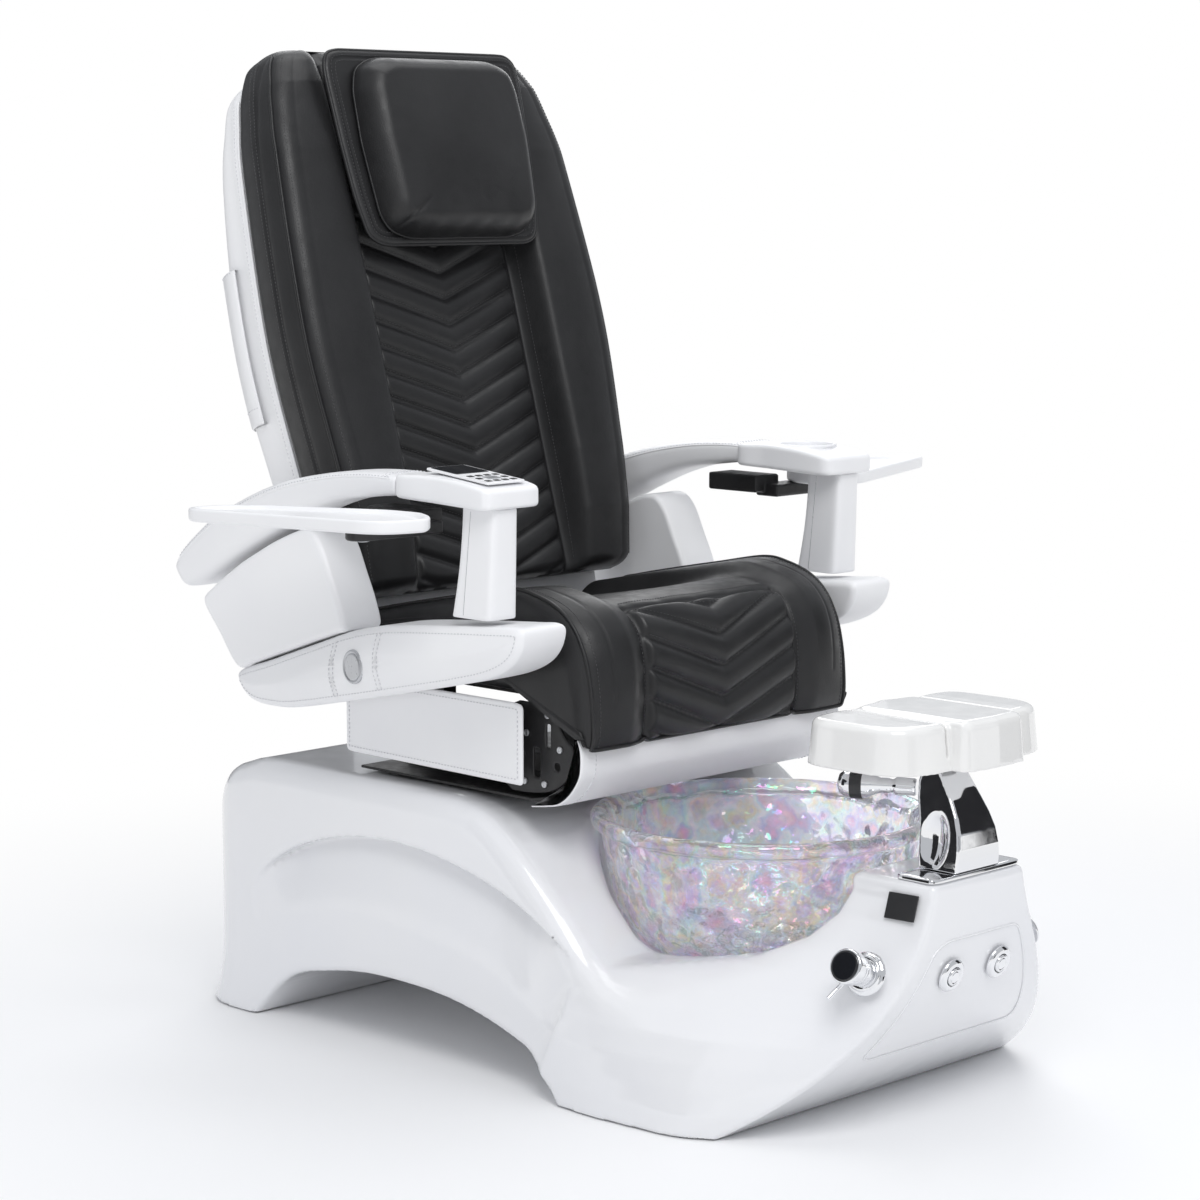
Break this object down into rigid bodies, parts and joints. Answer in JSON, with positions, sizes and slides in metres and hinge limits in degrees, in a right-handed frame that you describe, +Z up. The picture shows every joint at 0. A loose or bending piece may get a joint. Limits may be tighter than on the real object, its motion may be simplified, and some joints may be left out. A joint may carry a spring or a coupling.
{
  "type": "pedicure spa chair",
  "caption": "Reclining massage seat with padded arms and swing-out trays on an acrylic base, with a clear glass foot bowl and a footrest on a chrome stand.",
  "frame": {"origin": "on the floor, at the middle of the steel floor plate under the foot bowl, in the plane of symmetry of the chair", "axes": "+Z up. The chair faces -Y, so +Y runs to the rear and +X is to the sitter's left"},
  "size_m": [1.303, 1.238, 1.3946],
  "materials": {
    "base_shell": "gloss",
    "base_frame": "satin",
    "bowl": "hammered, clear, iridescent",
    "bowl_gasket": "matte",
    "bowl_cradle": "matte",
    "drain_fitting": "mirror",
    "drain_stopper": "mirror",
    "drain_pipe": "matte",
    "jet_cover": "satin",
    "jet_impeller": "matte",
    "jet_motor": "matte",
    "button_bezel_left": "mirror",
    "button_bezel_right": "mirror",
    "button_bezel_side": "mirror",
    "button_left": "mirror",
    "button_right": "mirror",
    "button_side": "mirror",
    "valve_escutcheon": "mirror",
    "valve_body": "plain",
    "valve_knob": "mirror",
    "badge_plate": "satin",
    "tower_plate": "mirror",
    "footrest_stand": "mirror",
    "footrest_pad": "gloss",
    "fill_spout": "mirror",
    "slide_rail_left": "satin",
    "slide_rail_right": "satin",
    "slide_motor": "matte",
    "seat_tray": "satin",
    "front_panel": "smooth white vinyl",
    "seat_frame": "satin",
    "recline_actuator": "matte",
    "seat_cushion": "fine grain, black",
    "skirt_left": "smooth white vinyl",
    "skirt_right": "smooth white vinyl",
    "side_panel_left": "smooth white vinyl",
    "side_panel_right": "smooth white vinyl",
    "arm_shell_left": "satin",
    "arm_shell_right": "satin",
    "back_pad": "fine grain, black",
    "back_shell": "satin",
    "back_strap": "smooth white vinyl",
    "back_frame": "satin",
    "massage_carriage": "matte",
    "massage_rollers": "matte",
    "pillow_flap": "fine grain, black",
    "pillow_pad": "fine grain, black",
    "arm_pad_left": "stitched white vinyl",
    "arm_front_left": "satin",
    "pillar_left": "satin",
    "tray_bracket_left": "satin",
    "tray_left": "satin",
    "arm_pad_right": "stitched white vinyl",
    "arm_front_right": "satin",
    "pillar_right": "satin",
    "tray_bracket_right": "satin",
    "tray_right": "satin",
    "keypad": "satin"
  },
  "bodies": {
    "base": {"base_shell": "base_shell", "base_frame": "base_frame", "bowl": "bowl", "bowl_gasket": "bowl_gasket", "bowl_cradle": "bowl_cradle", "drain_fitting": "drain_fitting", "drain_pipe": "drain_pipe", "jet_cover": "jet_cover", "jet_motor": "jet_motor", "button_bezel_left": "button_bezel_left", "button_bezel_right": "button_bezel_right", "button_bezel_side": "button_bezel_side", "valve_escutcheon": "valve_escutcheon", "valve_body": "valve_body", "badge_plate": "badge_plate", "tower_plate": "tower_plate", "footrest_stand": "footrest_stand", "fill_spout": "fill_spout", "slide_rail_left": "slide_rail_left", "slide_rail_right": "slide_rail_right", "slide_motor": "slide_motor"},
    "stopper": {"drain_stopper": "drain_stopper"},
    "impeller": {"jet_impeller": "jet_impeller"},
    "knob": {"valve_knob": "valve_knob"},
    "front_button_left": {"button_left": "button_left"},
    "front_button_right": {"button_right": "button_right"},
    "flank_button": {"button_side": "button_side"},
    "footrest": {"footrest_pad": "footrest_pad"},
    "seat": {"seat_tray": "seat_tray", "front_panel": "front_panel", "seat_frame": "seat_frame", "recline_actuator": "recline_actuator", "seat_cushion": "seat_cushion", "skirt_left": "skirt_left", "skirt_right": "skirt_right", "side_panel_left": "side_panel_left", "side_panel_right": "side_panel_right", "arm_shell_left": "arm_shell_left", "arm_shell_right": "arm_shell_right"},
    "back": {"back_pad": "back_pad", "back_shell": "back_shell", "back_strap": "back_strap", "back_frame": "back_frame"},
    "massage": {"massage_carriage": "massage_carriage"},
    "rollers": {"massage_rollers": "massage_rollers"},
    "pillow": {"pillow_flap": "pillow_flap", "pillow_pad": "pillow_pad"},
    "arm_right": {"arm_pad_right": "arm_pad_right", "arm_front_right": "arm_front_right", "pillar_right": "pillar_right", "tray_bracket_right": "tray_bracket_right", "keypad": "keypad"},
    "arm_left": {"arm_pad_left": "arm_pad_left", "arm_front_left": "arm_front_left", "pillar_left": "pillar_left", "tray_bracket_left": "tray_bracket_left"},
    "tray_arm_right": {"tray_right": "tray_right"},
    "tray_arm_left": {"tray_left": "tray_left"}
  },
  "joints": [
    {"name": "stopper_lift", "type": "slide", "parent": "base", "child": "stopper", "axis": [0, 0, 1], "range_m": [0, 0.01]},
    {"name": "jet_spin", "type": "hinge", "parent": "base", "child": "impeller", "pos_m": [0, -0.143, 0.24], "axis": [0, -0.9563, -0.2924], "continuous": true},
    {"name": "valve_turn", "type": "hinge", "parent": "base", "child": "knob", "pos_m": [-0.163, -0.269, 0.214], "axis": [-0.913, -0.1455, 0.3812], "range_deg": [0, 90]},
    {"name": "button_left_press", "type": "slide", "parent": "base", "child": "front_button_left", "axis": [0, 0.9659, 0.2588], "range_m": [0, 0.003], "stiffness_N_per_m": 400},
    {"name": "button_right_press", "type": "slide", "parent": "base", "child": "front_button_right", "axis": [0, 0.9659, 0.2588], "range_m": [0, 0.003], "stiffness_N_per_m": 400},
    {"name": "button_side_press", "type": "slide", "parent": "base", "child": "flank_button", "axis": [-0.913, 0.1455, -0.3812], "range_m": [0, 0.003], "stiffness_N_per_m": 400},
    {"name": "footrest_tilt", "type": "hinge", "parent": "base", "child": "footrest", "pos_m": [0, -0.262, 0.476], "axis": [1, 0, 0], "range_deg": [0, 15]},
    {"name": "seat_slide", "type": "slide", "parent": "base", "child": "seat", "axis": [0, -1, 0], "range_m": [0, 0.15]},
    {"name": "backrest_recline", "type": "hinge", "parent": "seat", "child": "back", "pos_m": [0, 0.63, 0.535], "axis": [-1, 0, 0], "range_deg": [0, 40]},
    {"name": "massage_travel", "type": "slide", "parent": "back", "child": "massage", "axis": [0, 0.2723, 0.9622], "range_m": [-0.19, 0.33]},
    {"name": "roller_spin", "type": "hinge", "parent": "massage", "child": "rollers", "pos_m": [0, 0.72477, 0.86298], "axis": [1, 0, 0], "continuous": true},
    {"name": "pillow_flip", "type": "hinge", "parent": "back", "child": "pillow", "pos_m": [0, 0.73564, 1.3972], "axis": [-1, 0, 0], "range_deg": [0, 120]},
    {"name": "arm_lift_right", "type": "hinge", "parent": "seat", "child": "arm_right", "pos_m": [-0.35, 0.79, 0.64], "axis": [-1, 0, 0], "range_deg": [0, 45]},
    {"name": "arm_lift_left", "type": "hinge", "parent": "seat", "child": "arm_left", "pos_m": [0.35, 0.79, 0.64], "axis": [-1, 0, 0], "range_deg": [0, 45]},
    {"name": "tray_swing_right", "type": "hinge", "parent": "arm_right", "child": "tray_arm_right", "pos_m": [-0.465, 0.335, 0.757], "axis": [0, 0, 1], "range_deg": [-20, 58]},
    {"name": "tray_swing_left", "type": "hinge", "parent": "arm_left", "child": "tray_arm_left", "pos_m": [0.465, 0.335, 0.757], "axis": [0, 0, 1], "range_deg": [0, 79]}
  ]
}
